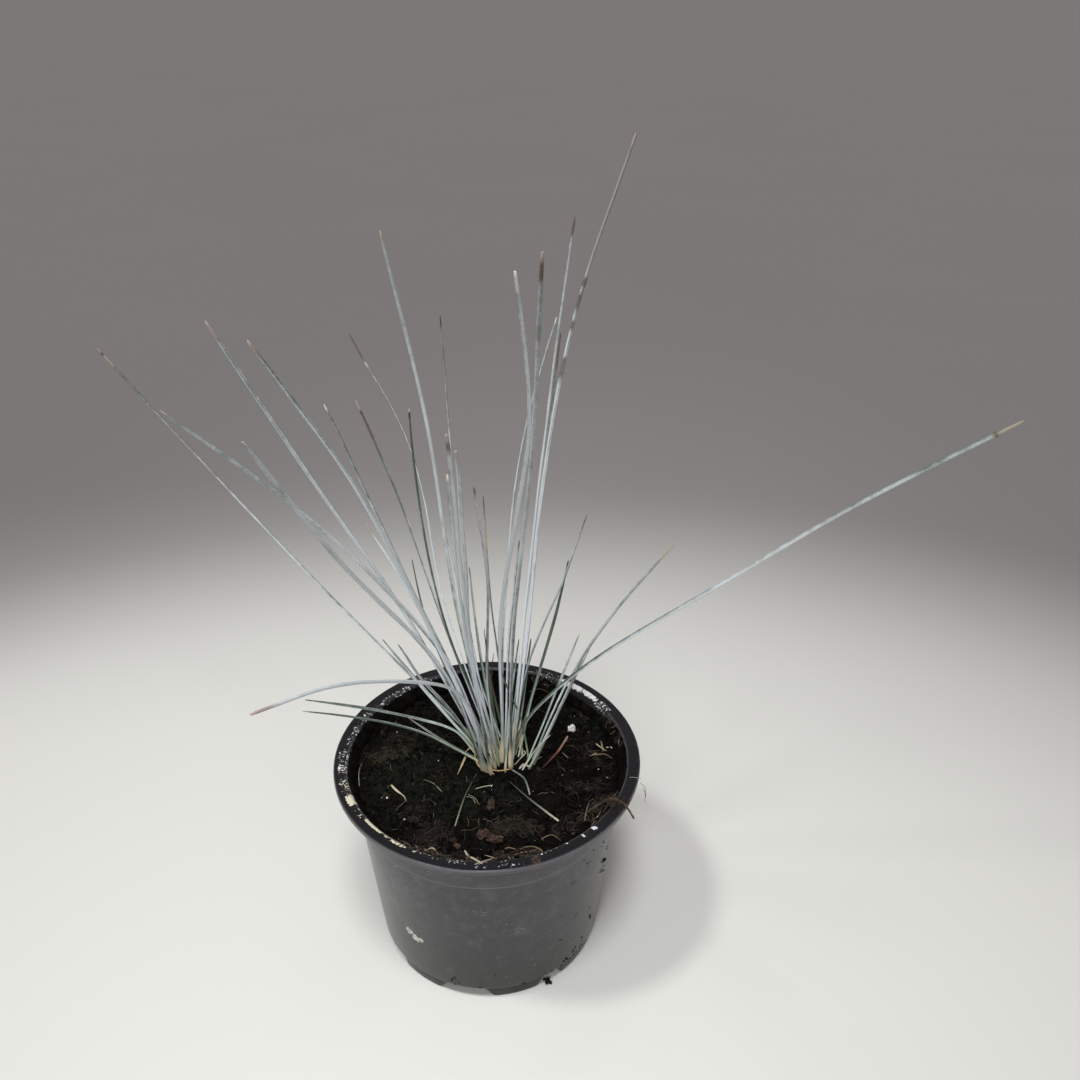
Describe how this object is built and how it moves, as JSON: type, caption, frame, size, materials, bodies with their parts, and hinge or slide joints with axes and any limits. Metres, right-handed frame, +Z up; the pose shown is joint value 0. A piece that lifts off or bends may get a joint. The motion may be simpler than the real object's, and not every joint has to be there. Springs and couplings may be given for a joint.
{
  "type": "potted blue fescue clump",
  "caption": "Small blue fescue clump with stiff, spreading needle leaves, standing in a round black nursery pot of dark soil.",
  "frame": {"origin": "middle of the pot's foot, on the surface that the pot stands on", "axes": "+Z up; +X towards the long leaf on the right; +Y to the back, away from the picture's camera"},
  "size_m": [0.3746, 0.2577, 0.3392],
  "materials": {
    "pot": "satin, scuffed, with dried lime on the lip",
    "soil": "damp peat with bark crumbs and a green film",
    "leaf": "waxy blue-grey bloom over green",
    "dry_leaf": "dry and papery",
    "straw": "dry straw",
    "stem": "dry",
    "root": "dry and fibrous",
    "bark": "rough",
    "perlite": "matt and porous"
  },
  "bodies": {
    "root": {"pot": "pot", "soil": "soil", "left_leaf_01": "leaf", "left_leaf_02": "leaf", "left_leaf_03": "leaf", "left_leaf_04": "leaf", "left_leaf_05": "leaf", "left_leaf_06": "leaf", "left_leaf_07": "leaf", "left_leaf_08": "leaf", "left_leaf_09": "leaf", "left_leaf_10": "leaf", "left_leaf_11": "leaf", "left_leaf_12": "leaf", "left_leaf_13": "leaf", "left_leaf_14": "leaf", "left_leaf_15": "leaf", "left_leaf_16": "leaf", "left_leaf_17": "leaf", "middle_leaf_01": "leaf", "middle_leaf_02": "leaf", "middle_leaf_03": "leaf", "middle_leaf_04": "leaf", "middle_leaf_05": "leaf", "middle_leaf_06": "leaf", "middle_leaf_07": "leaf", "middle_leaf_08": "leaf", "middle_leaf_09": "leaf", "middle_leaf_10": "leaf", "middle_leaf_11": "leaf", "middle_leaf_12": "leaf", "middle_leaf_13": "leaf", "middle_leaf_14": "leaf", "middle_leaf_15": "leaf", "middle_leaf_16": "leaf", "middle_leaf_17": "leaf", "middle_leaf_18": "leaf", "middle_leaf_19": "leaf", "middle_leaf_20": "leaf", "middle_leaf_21": "dry_leaf", "middle_leaf_22": "dry_leaf", "right_leaf_01": "leaf", "right_leaf_02": "leaf", "right_leaf_03": "leaf", "right_leaf_04": "leaf", "right_leaf_05": "leaf", "right_leaf_06": "leaf", "right_leaf_07": "leaf", "right_leaf_08": "leaf", "right_leaf_09": "straw", "right_leaf_10": "straw", "dead_leaf_left": "straw", "dead_leaf_bent": "straw", "dead_leaf_right": "straw", "straw_stub": "straw", "sheath_curl": "straw", "reddish_stem": "stem", "root_stick": "root", "bark_chip": "bark", "perlite_grain": "perlite"}
  },
  "joints": []
}
